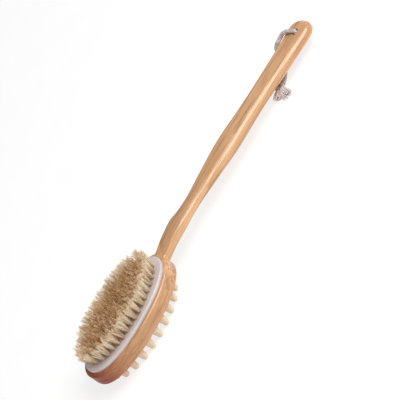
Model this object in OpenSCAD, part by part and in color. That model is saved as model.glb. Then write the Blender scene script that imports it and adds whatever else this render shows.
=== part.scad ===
// Long-handled body brush: an oval wooden head with natural bristles on one face and
// massage pegs on the other, and a cotton hanging loop through the end of the handle.
// It stands on its peg tips: Z is up through the bristles, X runs from the head to the
// handle's end, and the origin is the middle of the base of the whole brush.

/* [Overall] */
// Length from the front of the head to the end of the handle
total_len = 426; // [400:1:450]

/* [Wooden head] */
// Length of the oval head
head_len = 141; // [130:1:150]
// Width of the oval head
head_w = 72; // [68:1:80]
// Thickness of the head board, which is one piece with the handle
board_t = 9.5; // [9:0.5:12]
// Thickness of the back block glued under the head board
block_t = 8.2; // [7:0.2:12]

/* [Bristle plate] */
// Length of the white bristle plate
plate_len = 132; // [124:1:134]
// Width of the white bristle plate
plate_w = 65; // [60:1:67]
// How far the plate stands proud of the head board
plate_proud = 3.2; // [2:0.2:5]
// Depth of the pocket that holds the plate
pocket_depth = 3.8; // [3:0.2:5]

/* [Bristles] */
// Height of the bristles above the plate
bristle_h = 18.4; // [14:0.2:24]
// Radius of a tuft where it leaves the plate
tuft_root_r = 1.7; // [1.4:0.1:1.9]
// Radius of a tuft at its tip
tuft_tip_r = 2.9; // [2:0.1:3]

/* [Massage pegs] */
// Length of a peg below the back block
peg_len = 14; // [10:0.5:16]
// Radius of a peg at its base
peg_base_r = 4.9; // [4:0.1:5.2]
// Radius of a peg's rounded tip
peg_tip_r = 3.4; // [2.5:0.1:3.6]

/* [Hanging loop] */
// Diameter of the hole through the handle's end
hole_d = 6.8; // [5.6:0.2:8]
// Diameter of the cotton cord
cord_d = 4.6; // [4:0.2:5]

/* [Hidden] */
outline_n = 2.2;                       // how square the ovals are: 2 is an ellipse
bevel_n = 1.3;                         // the handle's corners: 2 is an arc, 1 a flat bevel
under_share = 0.45;                    // the lower corners' radius as a share of the upper ones'
head_x = -(total_len - head_len) / 2;  // middle of the head
face_z = peg_len + block_t + board_t;  // the head board's bristle side
plate_top = face_z + plate_proud;
handle_x0 = head_x + head_len / 2;     // where the handle leaves the oval
handle_len = total_len - head_len;
end_x = total_len / 2;
hole_x = end_x - 16;
cap_len = 15;                          // the rounded end of the handle
block_edge_r = 3;                      // edge rounding under the back block
block_side_inset = 0.3;                // the block stands back from the board's sides
plate_edge_r = 1.8;
spigot_r = 3;                          // a peg's glued spigot
spigot_h = 5;
fit_gap = 0.04;                        // radial room in the glued holes
tuft_depth = 3.6;                      // how deep a tuft sits in the plate
anchor_h = 1.3;                        // the wire anchor under each tuft
anchor_t = 0.6;

// The handle: share of its length, width, thickness, centre below the head's face
// and corner radius.
STATIONS = [
    [0,     18,   9.5,  4.75, 2],
    [0.055, 18.5, 10.4, 2.3,  2],
    [0.125, 21,   10,   1.5,  2],
    [0.165, 19.6, 9.8,  2.1,  3.6],
    [0.225, 18.2, 10,   3,    3.8],
    [0.335, 22.8, 11.4, 3.9,  4.2],
    [0.46,  27.7, 12.8, 5.6,  4.4],
    [0.63,  25.4, 11.4, 8.6,  4.2],
    [0.785, 27,   11.4, 11.6, 4.2],
    [0.88,  29.4, 10.8, 13.2, 4.2],
    [0.945, 31.2, 10.2, 14.1, 4],
    [1,     31.2, 9.8,  14.3, 4]
];

// Tuft rings from the rim inwards: half length, half width, tufts, outward lean.
RINGS = [[57, 26, 36, 8], [50, 19.5, 30, 5.5], [42.7, 13, 24, 3.5], [35.5, 6.4, 20, 1.5]];
TUFT_ROW = [7.2, 8, 0];                // the middle row: pitch, tufts, lean

// Pegs: half length, half width and count of the outer and inner ovals.
PEG_RINGS = [[54.5, 28.5, 20], [37, 13.5, 12]];
PEG_ROW = [15, 3];                     // the middle row: pitch and count
OUTER_PEGS = PEG_RINGS[0][2];
INNER_PEGS = PEG_RINGS[1][2];

// The cord's two legs from the middle of the hole to the knot on the ground.
FRONT_LEG = [
    [196.9, 0.1, 18.5], [196.9, 0.1, 21.6], [196.7, 0.5, 23.6], [196.1, 2, 25.2], [195, 4.8, 26],
    [193.8, 7.8, 26.1], [192.4, 10.6, 26], [190.6, 13, 25.6], [188.2, 14.5, 24.7],
    [185.4, 15.4, 23.9], [182.4, 15.9, 23.5], [179.6, 16.5, 22.7], [177, 17.5, 20.6],
    [174.8, 18.3, 17.4], [172.4, 18.4, 13.2], [169.8, 18.2, 9.2], [166.6, 17.8, 5.8],
    [162.8, 17, 3.8], [158.4, 15.2, 3], [154, 12.2, 3], [150.2, 8.4, 3.6], [147.2, 4.8, 4.6],
    [145.2, 2, 5.4]
];
BACK_LEG = [
    [196.9, 0.1, 18.5], [196.9, 0.1, 13], [196.6, 1, 9.4], [195.2, 3, 6.4], [191.8, 6.6, 4],
    [186.4, 10.2, 2.8], [179.6, 12.6, 2.5], [172.4, 13, 2.5], [165.6, 11.4, 2.5], [159.8, 8.4, 2.5],
    [154.8, 4.4, 2.9], [150.2, 0.6, 3.8], [145.6, -2.4, 5]
];
KNOT = [141, -2.4, 6.2];               // middle of the knot
KNOT_R = [6, 4.6];                     // its radius and half height
TAIL_RIGHT = [[139, -7, 5.4], [137, -11, 5.2], [135.4, -15, 4.8], [134, -19, 4.4]];
TAIL_LEFT = [[136, -3, 5], [132.8, -4.2, 4.6], [130, -5.6, 4.2], [127.6, -7.2, 4]];

PEG_NAMES = [for (k = [1 : OUTER_PEGS + INNER_PEGS + PEG_ROW[1]]) str("peg_", k < 10 ? "0" : "", k)];

// ---- Shared shapes ----

function oval_point(a, b, t) = [
    a * sign(cos(t)) * pow(abs(cos(t)), 2 / outline_n),
    b * sign(sin(t)) * pow(abs(sin(t)), 2 / outline_n)];

function oval(a, b, count = 72) = [for (i = [0 : count - 1]) oval_point(a, b, 360 * i / count)];

function raised(outline, x, z) = [for (p = outline) [p[0] + x, p[1], z]];

// A closed solid through rings of the same number of points.
module skin(rings) {
    m = len(rings[0]);
    last = len(rings) - 1;
    polyhedron(
        points = [for (r = rings) each r],
        faces = concat(
            [[for (j = [0 : m - 1]) j]],
            [for (i = [0 : last - 1], j = [0 : m - 1])
                [i * m + j, (i + 1) * m + j, (i + 1) * m + (j + 1) % m, i * m + (j + 1) % m]],
            [[for (j = [m - 1 : -1 : 0]) last * m + j]]));
}

// Values read smoothly from a table of rows whose first column rises.
function row_at(table, x, i = 0) =
    i >= len(table) - 2 || x < table[i + 1][0] ? i : row_at(table, x, i + 1);
function slope(table, i, k) =
    let (a = table[max(i - 1, 0)], b = table[min(i + 1, len(table) - 1)]) (b[k] - a[k]) / (b[0] - a[0]);
function smooth(table, x, k) =
    let (i = row_at(table, x), a = table[i], b = table[i + 1], h = b[0] - a[0], s = (x - a[0]) / h)
    (1 + 2 * s) * pow(1 - s, 2) * a[k] + s * pow(1 - s, 2) * h * slope(table, i, k)
    + s * s * (3 - 2 * s) * b[k] - s * s * (1 - s) * h * slope(table, i + 1, k);

// Points spaced evenly round an ellipse, as [x, y, direction of the outward normal].
function ring_table(a, b, steps = 360) = [
    for (i = 0, run = 0; i <= steps;
        run = run + norm([a * (cos(i + 1) - cos(i)), b * (sin(i + 1) - sin(i))]), i = i + 1) [run, i]];
function around(a, b, count, shift = 0) =
    let (table = ring_table(a, b), whole = table[len(table) - 1][0])
    [for (k = [0 : count - 1])
        let (t = lookup((k + shift) * whole / count, table))
        [a * cos(t), b * sin(t), atan2(a * sin(t), b * cos(t))]];
function along(pitch, count) = [for (k = [0 : count - 1]) [(k - (count - 1) / 2) * pitch, 0, 0]];

// ---- Handle and head board ----

function neck(x, k) = smooth(STATIONS, max(0, min(1, (x - handle_x0) / handle_len)), k);
function oval_w(x) =
    let (u = min(1, abs(x - head_x) / (head_len / 2))) head_w * pow(1 - pow(u, outline_n), 1 / outline_n);
function end_share(x) =
    let (u = max(0, (x - end_x + cap_len) / cap_len)) pow(max(0, 1 - pow(u, 2.3)), 1 / 2.3);
function wood_w(x) =
    x < head_x ? oval_w(x) : pow(pow(oval_w(x), 6) + pow(neck(x, 1) * end_share(x), 6), 1 / 6);
function wood_t(x) = neck(x, 2) * (0.55 + 0.45 * pow(end_share(x), 0.5));

function bevel(v) = sign(v) * pow(abs(v), 2 / bevel_n);
function corner(cy, cz, r, from, steps = 5) = [
    for (i = [0 : steps - 1]) let (t = from + 90 * i / (steps - 1))
        [cy + r * bevel(cos(t)), cz + r * bevel(sin(t))]];
function wood_section(x) =
    let (w = wood_w(x), t = wood_t(x), z = face_z - neck(x, 3),
        r = min(neck(x, 4), w / 2 - 0.1, t / 2 - 0.1), y = w / 2 - r, h = t / 2 - r,
        under = r * under_share, wide = w / 2 - under, low = under - t / 2)
    [for (p = concat(corner(y, h, r, 0), corner(-y, h, r, 90), corner(-wide, low, under, 180),
        corner(wide, low, under, 270))) [x, p[0], z + p[1]]];

module handle() {
    head_half = head_len / 2 - 0.1;
    head_stations = [for (i = [0 : 25]) head_x - head_half * cos(180 * i / 25)];
    grip_stations = [for (i = [1 : 22]) handle_x0 + (handle_len - cap_len) * i / 22];
    cap_stations = [for (i = [1 : 9]) end_x - cap_len + (cap_len - 0.1) * sin(90 * i / 9)];
    color("burlywood") difference() {
        skin([for (x = concat(head_stations, grip_stations, cap_stations)) wood_section(x)]);
        translate([head_x, 0, face_z - pocket_depth]) linear_extrude(pocket_depth + 10)
            polygon(oval(plate_len / 2 + 0.05, plate_w / 2 + 0.05));
        translate([hole_x, 0, 0]) cylinder(h = face_z, r = hole_d / 2, $fn = 48);
    }
}

// ---- Back block and pegs ----

function peg_places() = concat(
    around(PEG_RINGS[0][0], PEG_RINGS[0][1], OUTER_PEGS),
    around(PEG_RINGS[1][0], PEG_RINGS[1][1], INNER_PEGS, 0.5),
    along(PEG_ROW[0], PEG_ROW[1]));

module back_block() {
    a = head_len / 2;
    b = head_w / 2 - block_side_inset;
    top = peg_len + block_t;
    lower = [for (i = [0 : 5]) let (t = 90 * i / 5)
        raised(oval(a - block_edge_r * (1 - sin(t)), b - block_edge_r * (1 - sin(t))), head_x,
            peg_len + block_edge_r * (1 - cos(t)))];
    upper = [raised(oval(a, b), head_x, top - 0.6), raised(oval(a - 0.6, b - 0.6), head_x, top)];
    color("peru") difference() {
        skin([for (r = concat(lower, upper)) [for (i = [len(r) - 1 : -1 : 0]) r[i]]]);
        for (p = peg_places()) translate([head_x + p[0], p[1], peg_len - 1])
            cylinder(h = spigot_h + 1, r = spigot_r + fit_gap, $fn = 32);
    }
}

module peg(p) {
    dome = [for (i = [0 : 8]) let (t = -90 + 78 * i / 8)
        [peg_tip_r * cos(t), peg_tip_r * (1 + sin(t))]];
    color("bisque") translate([head_x + p[0], p[1], 0]) rotate_extrude($fn = 40)
        polygon(concat(dome, [[peg_base_r, peg_len - 1], [peg_base_r, peg_len], [spigot_r, peg_len],
            [spigot_r, peg_len + spigot_h], [0, peg_len + spigot_h]]));
}

// ---- Bristle plate, tufts and their anchors ----

function ring_places(k) =
    [for (p = around(RINGS[k][0], RINGS[k][1], RINGS[k][2])) [p[0], p[1], p[2], RINGS[k][3]]];
function row_places() = [for (p = along(TUFT_ROW[0], TUFT_ROW[1])) [p[0], p[1], 0, TUFT_ROW[2]]];

// Puts a child that points up where a tuft leaves the plate, with the tuft's lean.
module at_tuft(p) {
    translate([head_x + p[0], p[1], plate_top]) rotate([0, 0, p[2]]) rotate([0, p[3], 0]) children();
}

module bristle_plate() {
    a = plate_len / 2;
    b = plate_w / 2;
    bottom = face_z - pocket_depth;
    rim = [for (i = [0 : 5]) let (t = 90 * i / 5)
        raised(oval(a - plate_edge_r * (1 - cos(t)), b - plate_edge_r * (1 - cos(t))), head_x,
            plate_top - plate_edge_r * (1 - sin(t)))];
    color("lavender") difference() {
        skin([for (r = concat([raised(oval(a, b), head_x, bottom)], rim))
            [for (i = [len(r) - 1 : -1 : 0]) r[i]]]);
        for (p = concat(ring_places(0), ring_places(1), ring_places(2), ring_places(3), row_places()))
            at_tuft(p) translate([0, 0, -tuft_depth - anchor_h])
                cylinder(h = 10, r = tuft_root_r + fit_gap, $fn = 24);
    }
}

module tufts(places) {
    color("tan") for (p = places) at_tuft(p) {
        translate([0, 0, -tuft_depth]) cylinder(h = tuft_depth, r = tuft_root_r, $fn = 24);
        cylinder(h = bristle_h, r1 = tuft_root_r, r2 = tuft_tip_r, $fn = 24);
    }
}

module tuft_anchors() {
    color("silver")
        for (p = concat(ring_places(0), ring_places(1), ring_places(2), ring_places(3), row_places()))
            at_tuft(p) translate([-tuft_root_r + 0.1, -anchor_t / 2, -tuft_depth - anchor_h])
                cube([2 * tuft_root_r - 0.2, anchor_t, anchor_h]);
}

// ---- Hanging loop ----

function direction(route, i) =
    let (d = route[min(i + 1, len(route) - 1)] - route[max(i - 1, 0)]) d / norm(d);
// Carries the first ring's sideways direction along the route without twist.
function sides(route, first) = [
    for (i = 0, s = first; i < len(route);
        i = i + 1, s = i < len(route) ? let (d = direction(route, i), q = s - (s * d) * d) q / norm(q) : s) s];
function tube_rings(route, r, count, first) =
    let (side = sides(route, first))
    [for (i = [0 : len(route) - 1]) let (d = direction(route, i), u = side[i], v = cross(d, u))
        [for (j = [0 : count - 1]) route[i] + r * (cos(360 * j / count) * u + sin(360 * j / count) * v)]];

module cord(route, r = cord_d / 2, first = [1, 0, 0]) {
    color("mistyrose") skin([for (ring = tube_rings(route, r, 8, first))
        [for (j = [len(ring) - 1 : -1 : 0]) ring[j]]]);
}

module hang_knot() {
    color("mistyrose") translate(KNOT) rotate_extrude($fn = 32)
        polygon([for (i = [0 : 10]) let (t = -90 + 18 * i)
            [KNOT_R[0] * cos(t), KNOT_R[1] * sin(t)]]);
}

handle();
back_block();
bristle_plate();
tufts(ring_places(0));  // tufts_rim
tufts(ring_places(1));  // tufts_outer
tufts(ring_places(2));  // tufts_inner
tufts(ring_places(3));  // tufts_core
tufts(row_places());  // tufts_middle
tuft_anchors();
cord(FRONT_LEG);  // cord_front
cord(BACK_LEG);  // cord_back
hang_knot();
cord(TAIL_LEFT, 2.6, [0, 0, 1]);  // cord_tail_left
cord(TAIL_RIGHT, 3, [0, 0, 1]);  // cord_tail_right
for (k = [0 : len(PEG_NAMES) - 1])
    peg(peg_places()[k]);
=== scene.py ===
"""The body brush's looks: smooth wood, hair by hair bristles and a braided cotton loop, on the CAD frame."""

import math

import bpy
import numpy as np
from mathutils import Matrix, Vector


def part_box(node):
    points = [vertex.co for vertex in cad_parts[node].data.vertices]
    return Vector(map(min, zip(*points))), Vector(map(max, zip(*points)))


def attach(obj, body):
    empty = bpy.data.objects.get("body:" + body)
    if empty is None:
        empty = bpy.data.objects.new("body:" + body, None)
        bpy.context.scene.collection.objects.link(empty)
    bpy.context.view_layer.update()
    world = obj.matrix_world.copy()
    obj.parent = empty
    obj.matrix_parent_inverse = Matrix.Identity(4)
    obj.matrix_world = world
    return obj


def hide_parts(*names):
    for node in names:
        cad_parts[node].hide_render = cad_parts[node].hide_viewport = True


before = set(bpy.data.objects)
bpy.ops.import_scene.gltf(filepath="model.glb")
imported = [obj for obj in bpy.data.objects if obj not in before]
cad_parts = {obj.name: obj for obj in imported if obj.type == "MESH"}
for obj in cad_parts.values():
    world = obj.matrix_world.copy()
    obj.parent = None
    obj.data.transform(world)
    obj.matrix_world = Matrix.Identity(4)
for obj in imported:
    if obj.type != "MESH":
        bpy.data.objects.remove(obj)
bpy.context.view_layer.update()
MM = 0.001
RANDOM = np.random.default_rng(7)


def corners(node):
    """A CAD piece's low and high corners, in millimetres."""
    return [np.array(corner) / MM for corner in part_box(node)]


# ---- Sizes in millimetres, from the frame's pieces where they show them ----

BLOCK_LOW, BLOCK_HIGH = corners("back_block")
PLATE_LOW, PLATE_HIGH = corners("bristle_plate")
PEG_LOW, PEG_HIGH = corners("peg_01")

HEAD_LEN = BLOCK_HIGH[0] - BLOCK_LOW[0]
HEAD_X = (BLOCK_LOW[0] + BLOCK_HIGH[0]) / 2
BLOCK_INSET = 0.3
HEAD_W = 2 * (BLOCK_HIGH[1] + BLOCK_INSET)
END_X = -BLOCK_LOW[0]  # the frame's origin is halfway along the brush
CAP_LEN = 15
HOLE_X = END_X - 16
HOLE_R = 3.4
PEG_LEN = BLOCK_LOW[2]
BLOCK_TOP = BLOCK_HIGH[2]
BLOCK_EDGE_R = 3
SEAM_R = 0.15
BOARD_T = 9.5
FACE_Z = BLOCK_TOP + BOARD_T
PLATE_HALF_LEN = (PLATE_HIGH[0] - PLATE_LOW[0]) / 2
PLATE_HALF_W = PLATE_HIGH[1]
PLATE_TOP = PLATE_HIGH[2]
PLATE_RIM_R = 1.8
PLATE_FOOT_R = 0.05
POCKET_FLOOR = PLATE_LOW[2]
POCKET_GAP = 0.05
POCKET_EDGE_R = 0.01
CUT_ABOVE = 9  # how far the pocket's cutter reaches above the head's face
CORD_D = 4.6

OUTLINE_N = 2.2  # the superellipse power of the head and the plate
CAP_N = 2.3  # the same for the handle's end
BLEND_N = 6  # how tightly the head's oval runs into the neck
BEVEL_N = 1.3  # how round the handle's top edges are: 2 is an arc, 1 a flat bevel
LIP = 0.5  # a flat strip that keeps the rounding of an edge off the face beside it

# How much of the corner radius the under edges have, by the distance from the head's middle.
UNDER_AT = (-71, -62, 58, 74)
UNDER_SHARE = (0.45, 0.05, 0.05, 0.45)

# The handle: share of its length, width, thickness, centre below the head's face, corner radius.
STATIONS = np.array([
    [0, 18, 9.5, 4.75, 2],
    [0.055, 18.5, 10.4, 2.3, 2],
    [0.125, 21, 10, 1.5, 2],
    [0.165, 19.6, 9.8, 2.1, 3.6],
    [0.225, 18.2, 10, 3, 3.8],
    [0.335, 22.8, 11.4, 3.9, 4.2],
    [0.46, 27.7, 12.8, 5.6, 4.4],
    [0.63, 25.4, 11.4, 8.6, 4.2],
    [0.785, 27, 11.4, 11.6, 4.2],
    [0.88, 29.4, 10.8, 13.2, 4.2],
    [0.945, 31.2, 10.2, 14.1, 4],
    [1, 31.2, 9.8, 14.3, 4],
])

# Tuft rings from the rim inwards: node, half length, half width, tufts, outward lean in degrees
# and how pale the hair is: pale at the rim as painted light and dark inwards as painted shade
# between the tips. The middle row is a straight line of upright tufts.
RINGS = [
    ("tufts_rim", 57, 26, 36, 8, 0.84),
    ("tufts_outer", 50, 19.5, 30, 5.5, 0.55),
    ("tufts_inner", 42.7, 13, 24, 3.5, 0.36),
    ("tufts_core", 35.5, 6.4, 20, 1.5, 0.3),
]
ROW_PITCH = 7.2
ROW_TUFTS = 8
# How pale the middle row's hair is, low as painted shade between the tips.
ROW_SHADE = 0.3

# The cord's two legs from the middle of the hole to the knot, as in the CAD.
FRONT_LEG = [
    (196.9, 0.1, 18.5), (196.9, 0.1, 21.6), (196.7, 0.5, 23.6), (196.1, 2, 25.2), (195, 4.8, 26),
    (193.8, 7.8, 26.1), (192.4, 10.6, 26), (190.6, 13, 25.6), (188.2, 14.5, 24.7),
    (185.4, 15.4, 23.9), (182.4, 15.9, 23.5), (179.6, 16.5, 22.7), (177, 17.5, 20.6),
    (174.8, 18.3, 17.4), (172.4, 18.4, 13.2), (169.8, 18.2, 9.2), (166.6, 17.8, 5.8),
    (162.8, 17, 3.8), (158.4, 15.2, 3), (154, 12.2, 3), (150.2, 8.4, 3.6), (147.2, 4.8, 4.6),
    (145.2, 2, 5.4),
]
BACK_LEG = [
    (196.9, 0.1, 18.5), (196.9, 0.1, 13), (196.6, 1, 9.4), (195.2, 3, 6.4), (191.8, 6.6, 4),
    (186.4, 10.2, 2.8), (179.6, 12.6, 2.5), (172.4, 13, 2.5), (165.6, 11.4, 2.5), (159.8, 8.4, 2.5),
    (154.8, 4.4, 2.9), (150.2, 0.6, 3.8), (145.6, -2.4, 5),
]
KNOT = (141, -2.4, 6.2)
TAIL_RIGHT = [(139, -7, 5.4), (137, -11, 5.2), (135.4, -15, 4.8), (134, -19, 4.4)]
TAIL_LEFT = [(136, -3, 5), (132.8, -4.2, 4.6), (130, -5.6, 4.2), (127.6, -7.2, 4)]


# ---- Camera ----

CAMERA_AIM = (-8.8, -25.22, 38.55)
CAMERA_TURN = (-12.6, 33.6, 53.3)  # azimuth, elevation and roll in degrees
CAMERA_DISTANCE = 2500
CAMERA_LENS = 226.8
CAMERA_SENSOR = 36


def camera_frame(azimuth, elevation, roll):
    """The camera's right, up and back directions."""
    a, e, r = (math.radians(v) for v in (azimuth, elevation, roll))
    level = Vector((math.cos(a), math.sin(a), 0))
    upright = Vector((-math.sin(a) * math.sin(e), math.cos(a) * math.sin(e), math.cos(e)))
    right = math.cos(r) * level - math.sin(r) * upright
    up = math.sin(r) * level + math.cos(r) * upright
    return right, up, right.cross(up)


def add_camera():
    """A long lens far away, rolled as in the photograph."""
    right, up, back = camera_frame(*CAMERA_TURN)
    place_at = (Vector(CAMERA_AIM) + back * CAMERA_DISTANCE) * MM
    data = bpy.data.cameras.new("camera")
    data.sensor_width = CAMERA_SENSOR
    data.lens = CAMERA_LENS
    camera = bpy.data.objects.new("camera", data)
    turn = Matrix((right, up, back)).transposed().to_4x4()
    camera.matrix_world = Matrix.Translation(place_at) @ turn
    bpy.context.collection.objects.link(camera)
    bpy.context.scene.camera = camera


# ---- Meshes ----

def add_piece(name, points, faces, material, angle=None):
    """A smooth mesh piece in the row frame, from points in millimetres."""
    mesh = bpy.data.meshes.new(name)
    mesh.from_pydata(np.asarray(points, float) * MM, [], faces)
    mesh.shade_smooth()
    if angle is not None:
        mesh.set_sharp_from_angle(angle=math.radians(angle))
    mesh.materials.append(material)
    piece = bpy.data.objects.new(name, mesh)
    bpy.context.collection.objects.link(piece)
    return piece


def place(piece, body, node):
    """The piece rides on a body and stands for a CAD node, whose own piece is hidden."""
    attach(piece, body)
    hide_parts(node)


def ring_faces(rings, sides):
    """Quads between closed rings of the same number of points."""
    i, j = np.meshgrid(np.arange(rings - 1), np.arange(sides), indexing="ij")
    a = i * sides + j
    b = i * sides + (j + 1) % sides
    return np.stack([a, b, b + sides, a + sides], -1).reshape(-1, 4)


def running_length(points):
    """The length along a line of points up to each of them."""
    steps = np.linalg.norm(np.diff(points, axis=0), axis=1)
    return np.concatenate([[0], np.cumsum(steps)])


def smooth_through(rows, at):
    """Values at the given places on smooth curves through rows whose first column rises."""
    rows = np.asarray(rows, float)
    at = np.clip(at, rows[0, 0], rows[-1, 0])
    i = np.clip(np.searchsorted(rows[:, 0], at, side="right") - 1, 0, len(rows) - 2)
    before = np.maximum(np.arange(len(rows)) - 1, 0)
    after = np.minimum(np.arange(len(rows)) + 1, len(rows) - 1)
    slope = (rows[after, 1:] - rows[before, 1:]) / (rows[after, :1] - rows[before, :1])
    h = (rows[i + 1, 0] - rows[i, 0])[:, None]
    s = (at[:, None] - rows[i, :1]) / h
    return ((1 + 2 * s) * (1 - s) ** 2 * rows[i, 1:] + s * (1 - s) ** 2 * h * slope[i]
            + s * s * (3 - 2 * s) * rows[i + 1, 1:] - s * s * (1 - s) * h * slope[i + 1])


def outward(outline):
    """Unit normals of a closed outline that runs clockwise from the left end over the top."""
    along = np.roll(outline, -1, 0) - np.roll(outline, 1, 0)
    normal = np.stack([-along[:, 1], along[:, 0]], 1)
    return normal / np.linalg.norm(normal, axis=1)[:, None]


def mirrored(half):
    """The closed outline of a half outline that runs from one end to the other, both on the axis."""
    return np.concatenate([half, half[-2:0:-1] * (1, -1)])


def capped(rings, sides):
    """The faces of a closed tube: quads between its rings and a cap on each end."""
    last = (rings - 1) * sides
    caps = [list(range(sides))[::-1], [last + k for k in range(sides)]]
    return ring_faces(rings, sides).tolist() + caps


def ladder(n):
    """Faces that close an outline of n points, rung by rung from one half to the other."""
    half = n // 2
    rungs = [[i, i + 1, n - i - 1, n - i] for i in range(1, half - 1)]
    return [[0, 1, n - 1], *rungs, [half - 1, half, half + 1]]


def slab(outline, low, high, low_r, high_r, steps=8, bulge=2):
    """Points and faces of a plate with rounded edges; heights and radii are numbers or one per point.

    A bulge of 2 rounds the edges with arcs, and one nearer 1 makes them soft bevels.
    """
    n = len(outline)
    sizes = (low, high, low_r, high_r)
    low, high, low_r, high_r = (np.broadcast_to(np.asarray(v, float), n) for v in sizes)
    normal = outward(outline)
    turn = np.linspace(0, math.pi / 2, steps)
    bends = [(1 - abs(math.cos(t)) ** (2 / bulge), 1 - math.sin(t) ** (2 / bulge)) for t in turn]
    wall = (low + low_r, high - high_r)
    rings = [(low_r + LIP, low)]
    rings += [(low_r * drop, low + low_r * inset) for inset, drop in bends]
    rings += [(0 * low, wall[0] + (wall[1] - wall[0]) * s) for s in (0.25, 0.5, 0.75)]
    rings += [(high_r * inset, high - high_r * drop) for inset, drop in bends]
    rings += [(high_r + LIP, high)]
    points = [np.column_stack([outline - normal * inset[:, None], z]) for inset, z in rings]
    faces = ring_faces(len(rings), n)[:, ::-1].tolist()
    top = (len(rings) - 1) * n
    faces += ladder(n)
    faces += [[v + top for v in reversed(face)] for face in ladder(n)]
    return np.concatenate(points), faces


def oval_half(a, b, count=90):
    """Half of a superellipse round the head's middle, from its left end over the top to its right end."""
    t = np.linspace(0, math.pi, count)
    across = np.sign(np.cos(t)) * np.abs(np.cos(t)) ** (2 / OUTLINE_N)
    return np.column_stack([HEAD_X - a * across, b * np.abs(np.sin(t)) ** (2 / OUTLINE_N)])


def carve(piece, cutter):
    """Takes the cutter's shape out of a piece."""
    change = piece.modifiers.new("carve", "BOOLEAN")
    change.object = cutter
    change.operation = "DIFFERENCE"
    change.solver = "EXACT"
    carved = bpy.data.meshes.new_from_object(piece.evaluated_get(bpy.context.evaluated_depsgraph_get()))
    piece.modifiers.clear()
    piece.data = carved
    bpy.data.objects.remove(cutter)


# ---- Material nodes ----

class Paint:
    """A node material being made: its shader's constants first, then its textures."""

    def __init__(self, name, **constants):
        self.material = bpy.data.materials.new(name)
        self.material.use_nodes = True
        self.tree = self.material.node_tree
        self.shader = self.tree.nodes["Principled BSDF"]
        for key, value in constants.items():
            self.shader.inputs[key.replace("_", " ")].default_value = value

    def node(self, kind, links=None, values=None, **settings):
        """A node with its settings, its sockets' values and what its sockets are linked to."""
        made = self.tree.nodes.new("ShaderNode" + kind)
        for key, value in settings.items():
            setattr(made, key, value)
        for key, value in (values or {}).items():
            made.inputs[key].default_value = value
        for key, source in (links or {}).items():
            self.tree.links.new(source, made.inputs[key])
        return made

    def stretched(self, scale):
        """Object coordinates times a scale along each axis, in cycles per metre."""
        where = self.node("TexCoord").outputs["Object"]
        return self.node("Mapping", {"Vector": where}, {"Scale": scale}).outputs["Vector"]

    def noise(self, scale, detail=4, roughness=0.55, distortion=0):
        """Noise from 0 to 1, its cycles per metre along each axis given by the scale."""
        values = {"Scale": 1, "Detail": detail, "Roughness": roughness, "Distortion": distortion}
        return self.node("TexNoise", {"Vector": self.stretched(scale)}, values).outputs["Fac"]

    def ramp(self, factor, *stops):
        """A colour ramp through (place, colour) stops."""
        made = self.node("ValToRGB", {"Fac": factor})
        elements = made.color_ramp.elements
        while len(elements) < len(stops):
            elements.new(0.5)
        for element, (spot, colour) in zip(elements, stops):
            element.position = spot
            element.color = (*colour, 1)
        return made.outputs["Color"]

    def range(self, value, low, high, new_low, new_high):
        """A value moved from one range to another and kept within it."""
        values = {"From Min": low, "From Max": high, "To Min": new_low, "To Max": new_high}
        return self.node("MapRange", {"Value": value}, values).outputs["Result"]

    def mix(self, factor, a, b, blend="MIX"):
        """A colour mix; the factor is a number or an output."""
        made = self.node("Mix", data_type="RGBA", blend_type=blend)
        for socket, value in ((made.inputs[0], factor), (made.inputs[6], a), (made.inputs[7], b)):
            if isinstance(value, bpy.types.NodeSocket):
                self.tree.links.new(value, socket)
            else:
                socket.default_value = value if isinstance(value, (int, float)) else (*value, 1)
        return made.outputs[2]

    def into(self, socket, source):
        """Feeds an output into the shader."""
        self.tree.links.new(source, self.shader.inputs[socket])

    def bump(self, height, strength, distance):
        """Small relief from a height, its distance in millimetres."""
        made = self.node("Bump", {"Height": height}, {"Strength": strength, "Distance": distance * MM})
        self.into("Normal", made.outputs["Normal"])


def beech(name, shift=0.0, redness=0.0):
    """Varnished beech: long streaks and bands along X with short ray flecks, running to a dark red-brown
    towards the head's far end as painted shade over a redder wood; redness sets how much of that red-brown
    the wood has everywhere.
    """
    p = Paint(name, Coat_Roughness=0.2, Specular_IOR_Level=0.35)
    bands = p.noise((4 + shift, 60, 75), 3, 0.5, 0.8)
    streaks = p.noise((12, 560 + shift, 560), 5, 0.62)
    lines = p.noise((7, 330, 330 + shift), 2, 0.4, 0.4)
    flecks = p.noise((260, 2400, 1500 + shift), 2, 0.5)
    grain = p.mix(0.45, bands, streaks)
    wood = p.ramp(grain, (0.34, (0.46, 0.22, 0.088)),
                  (0.5, (0.65, 0.35, 0.158)),
                  (0.66, (0.82, 0.49, 0.245)))
    line = p.range(lines, 0.54, 0.62, 0, 0.7)
    fleck = p.range(flecks, 0.62, 0.72, 0, 0.3)
    wood = p.mix(line, wood, (0.40, 0.19, 0.07))
    wood = p.mix(fleck, wood, (0.36, 0.17, 0.065))
    along = p.node("SeparateXYZ", {"Vector": p.node("TexCoord").outputs["Object"]}).outputs["X"]
    # Painted shade: towards the head's far end, which faces away from the key light, the colour runs to a
    # dark red-brown, and the coat thins out there too.
    end_shade_and_red = p.range(along, -0.172, -0.212, redness, 1)
    varnish = p.range(along, -0.17, -0.21, 0.85, 0.05)
    p.into("Base Color", p.mix(end_shade_and_red, wood, (0.28, 0.045, 0.01)))
    p.into("Coat Weight", varnish)
    p.into("Roughness", p.range(streaks, 0.3, 0.7, 0.34, 0.46))
    p.bump(p.mix(0.3, streaks, flecks), 0.12, 0.15)
    return p.material


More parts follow.
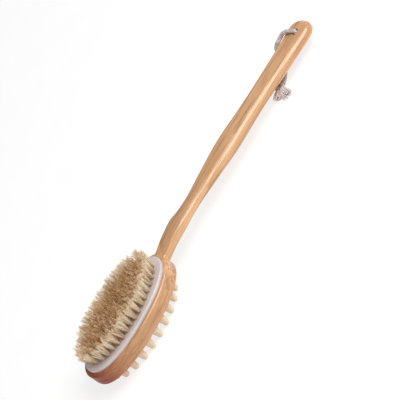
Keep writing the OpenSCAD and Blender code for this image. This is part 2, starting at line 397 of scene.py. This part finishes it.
def peg_wood():
    """Pale turned beech with fine end to end grain and a soft polish."""
    p = Paint("peg_wood", Coat_Weight=0.15, Coat_Roughness=0.3)
    streaks = p.noise((900, 900, 90), 4, 0.6)
    blotches = p.noise((120, 120, 120), 2)
    grain = p.mix(0.4, streaks, blotches)
    wood = p.ramp(grain, (0.33, (0.66, 0.49, 0.32)),
                  (0.52, (0.80, 0.64, 0.45)),
                  (0.7, (0.88, 0.75, 0.57)))
    p.into("Base Color", wood)
    p.into("Roughness", p.range(streaks, 0.3, 0.7, 0.4, 0.55))
    p.bump(streaks, 0.1, 0.1)
    return p.material


def white_plastic():
    """Glossy moulded plastic with faint flow marks and fine scuffs."""
    p = Paint("white_plastic", Specular_IOR_Level=0.55, Subsurface_Weight=0.15, Subsurface_Scale=0.004)
    clouds = p.noise((40, 70, 70), 3)
    scuffs = p.noise((300, 900, 900), 6, 0.7)
    p.into("Base Color", p.ramp(clouds, (0.3, (0.60, 0.54, 0.53)), (0.7, (0.68, 0.62, 0.62))))
    p.into("Roughness", p.range(scuffs, 0.35, 0.7, 0.2, 0.36))
    p.bump(scuffs, 0.04, 0.05)
    return p.material


def bristle():
    """Natural bristle: each hair has its own shade, darker at the root as painted shade and paler towards
    the tip, with a faint glow in its own colour as painted light.
    """
    # The emission is painted light that lifts the shade inside the tufts.
    p = Paint("natural_bristle", Specular_IOR_Level=0.3, Roughness=0.5, Emission_Strength=0.06)
    shade = p.node("Attribute", attribute_name="shade").outputs["Fac"]
    tip = p.node("Attribute", attribute_name="along").outputs["Fac"]
    hair = p.ramp(shade, (0.05, (0.36, 0.15, 0.04)),
                  (0.35, (0.76, 0.42, 0.16)),
                  (0.7, (0.97, 0.77, 0.50)),
                  (0.95, (0.99, 0.94, 0.82)))
    # Painted shade: the hair's colour darkens towards its root, where the tuft shades itself.
    root = p.mix(0.6, hair, (0.50, 0.32, 0.18), "MULTIPLY")
    mottle = p.noise((1500, 1500, 500), 2)
    lit = p.mix(p.range(tip, 0.1, 0.7, 0, 1), root, hair)
    colour = p.mix(p.range(mottle, 0.4, 0.7, 0, 0.3), lit, (0.95, 0.80, 0.55))
    p.into("Base Color", colour)
    # The hair's colour also glows here: painted light.
    p.into("Emission Color", colour)
    return p.material


def cotton(name, dark, middle, light):
    """Soft cotton yarn with fibre noise and a slight fuzz."""
    p = Paint(name, Roughness=0.92, Sheen_Weight=0.35, Sheen_Roughness=0.5, Specular_IOR_Level=0.2)
    fibre = p.noise((2600, 2600, 2600), 5, 0.7)
    patches = p.noise((260, 260, 260), 2)
    shade = p.mix(0.5, fibre, patches)
    p.into("Base Color", p.ramp(shade, (0.34, dark), (0.5, middle), (0.64, light)))
    p.bump(fibre, 0.5, 0.25)
    return p.material


def wire():
    """Drawn anchor wire, faintly tarnished."""
    p = Paint("anchor_wire", Metallic=1.0)
    tarnish = p.noise((700, 700, 700), 3)
    p.into("Base Color", p.ramp(tarnish, (0.3, (0.42, 0.42, 0.43)), (0.7, (0.68, 0.68, 0.69))))
    p.into("Roughness", p.range(tarnish, 0.3, 0.7, 0.25, 0.45))
    return p.material


# ---- Hanging loop ----

BRAID_WAYS = 6  # yarns that wind each way
BRAID_TURN = 3.1  # the run of one turn, in cord diameters, as are the next four
CORE_R = 0.3
YARN_R = 0.13
YARN_REACH = 0.365
YARN_WEAVE = 0.055
KNOT_CORD_D = 3.3
KNOT_SPREAD = (1.55, 1.55, 1.5)
LOOSE_YARN_R = 0.3


def spaced(route, step):
    """Points about a step apart on a smooth curve through the route."""
    run = running_length(route)
    at = np.linspace(0, run[-1], int(run[-1] / step) + 1)
    return smooth_through(np.column_stack([run, route]), at)


def sideways(path):
    """Two directions across a path, carried along it without twist."""
    along = np.gradient(path, axis=0)
    along /= np.linalg.norm(along, axis=1)[:, None]
    side = np.cross(along[0], (0, 0, 1) if abs(along[0][2]) < 0.9 else (0, 1, 0))
    sides = []
    for d in along:
        side = side - d * (side @ d)
        side = side / np.linalg.norm(side)
        sides.append(side)
    return np.array(sides), np.cross(along, sides)


def tube(path, radius, sides):
    """Points and faces of a round tube with closed ends."""
    u, v = sideways(path)
    t = np.arange(sides) * 2 * math.pi / sides
    points = path[:, None] + radius * (np.cos(t)[:, None] * u[:, None] + np.sin(t)[:, None] * v[:, None])
    return points.reshape(-1, 3), capped(len(path), sides)


def joined(parts):
    """Several meshes' points and faces as one."""
    points = []
    faces = []
    base = 0
    for part_points, part_faces in parts:
        points.append(part_points)
        faces += [[v + base for v in face] for face in part_faces]
        base += len(part_points)
    return np.concatenate(points), faces


def braid(path, diameter):
    """A braided cord along a path: yarns that wind both ways, over and under each other, round a core."""
    u, v = sideways(path)
    angle = 2 * math.pi * running_length(path) / (BRAID_TURN * diameter)
    parts = [tube(path, CORE_R * diameter, 10)]
    for way in (1, -1):
        reach = diameter * (YARN_REACH + YARN_WEAVE * way * np.cos(BRAID_WAYS * angle))
        for k in range(BRAID_WAYS):
            t = way * angle + 2 * math.pi * k / BRAID_WAYS
            yarn = path + reach[:, None] * (np.cos(t)[:, None] * u + np.sin(t)[:, None] * v)
            parts.append(tube(yarn, YARN_R * diameter, 6))
    return joined(parts)


def add_leg(name, route, material):
    """One braided leg of the loop, with the path that it follows."""
    path = spaced(route, 0.35)
    piece = add_piece("braid_" + name, *braid(path, CORD_D), material)
    place(piece, "hang_loop", name)
    return piece, path


def add_knot(material):
    """An overhand knot pulled snug, as a closed three-lobed run of the cord."""
    t = np.linspace(0, 2 * math.pi, 260)
    lobes = np.column_stack([np.sin(t) + 2 * np.sin(2 * t), np.cos(t) - 2 * np.cos(2 * t), -np.sin(3 * t)])
    path = lobes * KNOT_SPREAD + KNOT
    piece = add_piece("overhand_knot", *braid(path, KNOT_CORD_D), material)
    place(piece, "hang_loop", "hang_knot")
    return piece


def add_tail(name, route, start_r, end_r, yarns, material):
    """A cut cord end whose yarns come loose and fan out, flatter towards their ends."""
    path = spaced(route, 0.5)
    u, v = sideways(path)
    share = np.linspace(0, 1, len(path))[:, None]
    spread = start_r + (end_r - start_r) * share ** 0.9
    flat = np.maximum(1 - 0.45 * share, 0.5)
    parts = []
    for _ in range(yarns):
        t = RANDOM.uniform(0, 2 * math.pi)
        out = math.sqrt(RANDOM.uniform(0.05, 1))
        wave = 0.35 * np.sin(share * RANDOM.uniform(5, 11) + RANDOM.uniform(0, 6)) * share
        yarn = path + out * spread * (math.cos(t) * u + math.sin(t) * flat * v) + wave * (u + 0.6 * v)
        yarn = yarn[: int(len(yarn) * RANDOM.uniform(0.86, 1))]
        yarn[:, 2] = np.maximum(yarn[:, 2], LOOSE_YARN_R)
        parts.append(tube(yarn, LOOSE_YARN_R, 5))
    piece = add_piece("frayed_" + name, *joined(parts), material)
    place(piece, "hang_loop", name)
    return piece


def add_loop():
    """The cotton loop: two braided legs, the knot and its two frayed ends."""
    material = cotton("cotton_cord", (0.30, 0.21, 0.20), (0.58, 0.48, 0.46), (0.82, 0.74, 0.72))
    # A paler copy of the cord's cotton for the frayed ends: painted light that lifts them out of their
    # shade.
    frayed = cotton("frayed_cotton_lightened", (0.52, 0.43, 0.41), (0.86, 0.79, 0.77), (0.97, 0.93, 0.91))
    knot = add_knot(material)
    right = add_tail("cord_tail_right", TAIL_RIGHT, 3.2, 7, 100, frayed)
    left = add_tail("cord_tail_left", TAIL_LEFT, 3, 6.4, 90, frayed)
    for name, route, pieces in (("cord_front", FRONT_LEG, [knot, right]), ("cord_back", BACK_LEG, [left])):
        leg, path = add_leg(name, route, material)


# ---- Wood ----

def along_handle(x):
    """Width, thickness, centre's depth and corner radius at each x."""
    start = HEAD_X + HEAD_LEN / 2
    return smooth_through(STATIONS, (x - start) / (END_X - start))


def handle_half():
    """Half of the handle and head board's outline, from the head's end to the handle's end."""
    cap_start = END_X - CAP_LEN
    head = HEAD_X - HEAD_LEN / 2 * np.cos(np.linspace(0, 0.97 * math.pi, 110))
    grip = np.linspace(head[-1], cap_start, 130)[1:]
    cap = cap_start + CAP_LEN * np.sin(np.linspace(0, math.pi / 2, 28))[1:]
    x = np.concatenate([head, grip, cap])
    u = np.minimum(np.abs(x - HEAD_X) / (HEAD_LEN / 2), 1)
    oval = HEAD_W * (1 - u ** OUTLINE_N) ** (1 / OUTLINE_N)
    end = np.maximum(x - cap_start, 0) / CAP_LEN
    neck = along_handle(x)[:, 0] * np.maximum(1 - end ** CAP_N, 0) ** (1 / CAP_N) * (x > HEAD_X)
    return np.column_stack([x, (oval ** BLEND_N + neck ** BLEND_N) ** (1 / BLEND_N) / 2])


def add_handle(material):
    """The handle and head board, with its pocket and hanging hole cut out."""
    outline = mirrored(handle_half())
    _, thick, depth, corner = along_handle(outline[:, 0]).T
    middle = FACE_Z - depth
    under = np.interp(outline[:, 0] - HEAD_X, UNDER_AT, UNDER_SHARE) * corner
    shape = slab(outline, middle - thick / 2, middle + thick / 2, under, corner, 12, BEVEL_N)
    piece = add_piece("brush_handle", *shape, material)
    carve(piece, pocket_cutter(material))
    carve(piece, hole_cutter(material))
    piece.data.shade_smooth()
    piece.data.set_sharp_from_angle(angle=math.radians(38))
    place(piece, "brush", "handle")


def pocket_cutter(material):
    """A sharp-edged oval, a little wider than the plate, that reaches well above the head's face."""
    outline = mirrored(oval_half(PLATE_HALF_LEN + POCKET_GAP, PLATE_HALF_W + POCKET_GAP))
    shape = slab(outline, POCKET_FLOOR, FACE_Z + CUT_ABOVE, POCKET_EDGE_R, POCKET_EDGE_R)
    return add_piece("pocket_cut", *shape, material)


def hole_cutter(material):
    """A round cutter that widens at both mouths of the hanging hole."""
    _, thick, depth, _ = along_handle(np.array([HOLE_X]))[0]
    low = FACE_Z - depth - thick / 2
    high = FACE_Z - depth + thick / 2
    mouth = [(HOLE_R + 2.5, -1.5), (HOLE_R + 0.9, 0), (HOLE_R + 0.3, 0.35), (HOLE_R, 1)]
    profile = [(r, low + depth_in) for r, depth_in in mouth]
    profile += [(r, high - depth_in) for r, depth_in in reversed(mouth)]
    return add_piece("hole_cut", *lathe(profile, 48, HOLE_X), material)


def lathe(profile, sides, x=0):
    """Points and faces of a shape turned from (radius, height) pairs, lowest first, round the line at x."""
    t = np.arange(sides) * 2 * math.pi / sides
    points = [(x + r * math.cos(a), r * math.sin(a), z) for r, z in profile for a in t]
    return points, capped(len(profile), sides)


def add_block(material):
    """The back block, well rounded on the peg side and all but sharp where it is glued."""
    outline = mirrored(oval_half(HEAD_LEN / 2, BLOCK_HIGH[1]))
    shape = slab(outline, PEG_LEN, BLOCK_TOP, BLOCK_EDGE_R, SEAM_R, 10)
    piece = add_piece("peg_block", *shape, material, 50)
    place(piece, "brush", "back_block")


# ---- Massage pegs ----

PEG_TIP_R = 3.4
PEG_BASE_R = (PEG_HIGH[0] - PEG_LOW[0]) / 2
SPIGOT_R = 3


def peg_profile():
    """Radii and heights of a peg that stands on its tip: a dome, a widening side and a spigot."""
    dome = [(PEG_TIP_R * math.cos(t), PEG_TIP_R * (1 + math.sin(t)))
            for t in np.linspace(-math.pi / 2 + 0.02, -0.1, 14)]
    side_r = PEG_TIP_R + 0.02
    side_low = PEG_TIP_R - 0.2
    side_high = PEG_LEN - 0.4
    side = [(side_r + (PEG_BASE_R - side_r) * s ** 1.15, side_low + (side_high - side_low) * s)
            for s in np.linspace(0.04, 1, 8)]
    return dome + side + [(PEG_BASE_R, PEG_LEN), (SPIGOT_R, PEG_LEN), (SPIGOT_R, PEG_HIGH[2])]


def add_pegs(material):
    """A turned peg where the CAD has each one, its top standing in the block's hole."""
    shape = lathe(peg_profile(), 40)
    for name in sorted(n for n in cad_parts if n.startswith("peg_")):
        low, high = (Vector(v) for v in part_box(name))
        piece = add_piece("turned_" + name, *shape, material, 60)
        piece.location = ((low.x + high.x) / 2, (low.y + high.y) / 2, low.z)
        place(piece, "brush", name)


# ---- Bristles and their plate ----

HAIR_LEN = 18.4
HAIR_R = 0.2
HAIR_SIDES = 3
HAIR_STEPS = 5
HAIR_DEPTH = 0.8  # how far a hair starts below the plate's top
TUFT_LOCKS = 13
LOCK_HAIRS = 10
# How far a lock's middle stands from its tuft's, and a hair from its lock's, at most.
LOCK_AT_ROOT = 0.9
LOCK_AT_TIP = 3.9
HAIR_AT_ROOT = 0.4
HAIR_AT_TIP = 0.9


def add_plate():
    """The bristle plate, with a rounded rim that stands proud of the head's face."""
    outline = mirrored(oval_half(PLATE_HALF_LEN, PLATE_HALF_W, 110))
    shape = slab(outline, POCKET_FLOOR, PLATE_TOP, PLATE_FOOT_R, PLATE_RIM_R, 12)
    piece = add_piece("moulded_plate", *shape, white_plastic(), 60)
    place(piece, "brush", "bristle_plate")


def around(a, b, count):
    """Tuft places spaced evenly round an ellipse: x, y and the outward direction."""
    t = np.linspace(0, 2 * math.pi, 721)
    run = running_length(np.column_stack([a * np.cos(t), b * np.sin(t)]))
    t = np.interp(np.arange(count) * run[-1] / count, run, t)
    normal = np.column_stack([np.cos(t) / a, np.sin(t) / b])
    normal /= np.linalg.norm(normal, axis=1)[:, None]
    return np.column_stack([a * np.cos(t), b * np.sin(t), normal])


def disc(n):
    """Random places in a disc of radius 1, as rows of x and y."""
    angle = RANDOM.uniform(0, 2 * math.pi, n)
    out = np.sqrt(RANDOM.uniform(0, 1, n))
    return np.column_stack([np.cos(angle), np.sin(angle)]) * out[:, None]


def hair_lines(places, lean, share):
    """Hairs in small locks that leave each tuft's hole together and fan out to a trimmed top."""
    locks = len(places) * TUFT_LOCKS
    n = locks * LOCK_HAIRS
    tuft_hairs = TUFT_LOCKS * LOCK_HAIRS
    spots = np.repeat(places, tuft_hairs, axis=0)
    sway = np.repeat(RANDOM.normal(0, 0.45, (len(places), 2)), tuft_hairs, axis=0)
    lock = np.repeat(disc(locks), LOCK_HAIRS, axis=0)
    own = disc(n)
    root = lock * LOCK_AT_ROOT + own * HAIR_AT_ROOT
    tip = lock * LOCK_AT_TIP + own * HAIR_AT_TIP + RANDOM.normal(0, 0.45, (n, 2)) + sway
    trim = np.repeat(RANDOM.normal(0, 0.35, locks), LOCK_HAIRS) + RANDOM.normal(0, 0.4, n)
    rise = share[None, :, None] * (HAIR_LEN + trim + HAIR_DEPTH)[:, None, None]
    bend = (share * (1 - share))[None, :, None] * RANDOM.normal(0, 1.3, (n, 1, 2))
    tilt = math.tan(math.radians(lean)) * spots[:, 2:]
    flat = root[:, None] + share[None, :, None] * (tip - root)[:, None] + rise * tilt[:, None] + bend
    return np.concatenate([flat + spots[:, None, :2] + (HEAD_X, 0), PLATE_TOP - HAIR_DEPTH + rise], axis=2)


def hair_mesh(lines, share):
    """Points and faces of the hairs, thinner towards their tips."""
    t = np.arange(HAIR_SIDES) * 2 * math.pi / HAIR_SIDES
    radius = HAIR_R * (1 - 0.5 * share)
    ring = np.stack([np.cos(t), np.sin(t), 0 * t], 1)[None, None] * radius[None, :, None, None]
    one = ring_faces(HAIR_STEPS, HAIR_SIDES)
    first = np.arange(len(lines)) * HAIR_STEPS * HAIR_SIDES
    faces = (one[None] + first[:, None, None]).reshape(-1, 4)
    return (lines[:, :, None] + ring).reshape(-1, 3), faces


def hair_shades(locks, ring_shade):
    """A shade for each hair round its lock's own shade, the locks round the ring's paleness, which is
    painted light and shade.
    """
    n = locks * LOCK_HAIRS
    shade = ring_shade + np.repeat(RANDOM.normal(0, 0.16, locks), LOCK_HAIRS) + RANDOM.normal(0, 0.26, n)
    return np.clip(shade, 0, 1)


def add_tufts(name, places, lean, ring_shade, material):
    """One node's tufts as a mesh of hairs that carries each point's shade and share of the hair's length."""
    share = np.linspace(0, 1, HAIR_STEPS)
    lines = hair_lines(places, lean, share)
    shades = hair_shades(len(places) * TUFT_LOCKS, ring_shade)
    piece = add_piece("hairs_" + name, *hair_mesh(lines, share), material)
    values = {
        "shade": np.repeat(shades, HAIR_STEPS * HAIR_SIDES),
        "along": np.tile(np.repeat(share, HAIR_SIDES), len(lines)),
    }
    for key, value in values.items():
        piece.data.attributes.new(key, "FLOAT", "POINT").data.foreach_set("value", value.astype(np.float32))
    place(piece, "brush", name)


def add_bristles():
    """The tufts in rings round the plate and in a row along its middle."""
    material = bristle()
    for name, a, b, count, lean, ring_shade in RINGS:
        add_tufts(name, around(a, b, count), lean, ring_shade, material)
    x = (np.arange(ROW_TUFTS) - (ROW_TUFTS - 1) / 2) * ROW_PITCH
    add_tufts("tufts_middle", np.column_stack([x, 0 * x, 0 * x, 0 * x]), 0, ROW_SHADE, material)


# ---- Stage and light ----

FLOOR_HALF = 6000
KEY_AT = (0.55, -0.75, 1.05)  # the light is in metres and watts
KEY_AIM = (0.02, 0, 0.02)
KEY_SIZE = (1.2, 0.6)
KEY_POWER = 15
ROOM_LIGHT = 0.45


def add_floor():
    """A plain pale floor under the pegs, evenly bright as on a lit table."""
    p = Paint("floor", Roughness=0.9, Specular_IOR_Level=0.1, Emission_Strength=0.72)
    speckle = p.noise((30, 30, 30), 3)
    p.into("Base Color", p.ramp(speckle, (0.3, (0.33, 0.33, 0.33)), (0.7, (0.35, 0.35, 0.35))))
    signs = [(-1, -1), (1, -1), (1, 1), (-1, 1)]
    corner_points = [(x * FLOOR_HALF, y * FLOOR_HALF, 0) for x, y in signs]
    add_piece("floor", corner_points, [[0, 1, 2, 3]], p.material)


def add_key():
    """A long soft box above the near side towards the handle's end, its width level."""
    data = bpy.data.lights.new("key", "AREA")
    data.shape = "RECTANGLE"
    data.size, data.size_y = KEY_SIZE
    data.energy = KEY_POWER
    light = bpy.data.objects.new("key", data)
    light.location = KEY_AT
    light.rotation_euler = (Vector(KEY_AIM) - Vector(KEY_AT)).to_track_quat("-Z", "Y").to_euler()
    bpy.context.collection.objects.link(light)


def add_room():
    """A dim even white room, shown without a film look."""
    world = bpy.data.worlds.new("studio")
    world.use_nodes = True
    background = world.node_tree.nodes["Background"]
    background.inputs["Color"].default_value = (1, 1, 1, 1)
    background.inputs["Strength"].default_value = ROOM_LIGHT
    bpy.context.scene.world = world
    bpy.context.scene.view_settings.view_transform = "Standard"


def finish_cad_parts():
    """The anchors stay as the CAD made them, in a wire finish."""
    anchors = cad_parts["tuft_anchors"]
    metal = wire()
    for slot in anchors.material_slots:
        slot.material = metal


add_camera()
add_loop()
add_handle(beech("beech_wood"))
add_block(beech("beech_block", 2.5, 0.22))
add_pegs(peg_wood())
add_plate()
add_bristles()
finish_cad_parts()
add_floor()
add_key()
add_room()
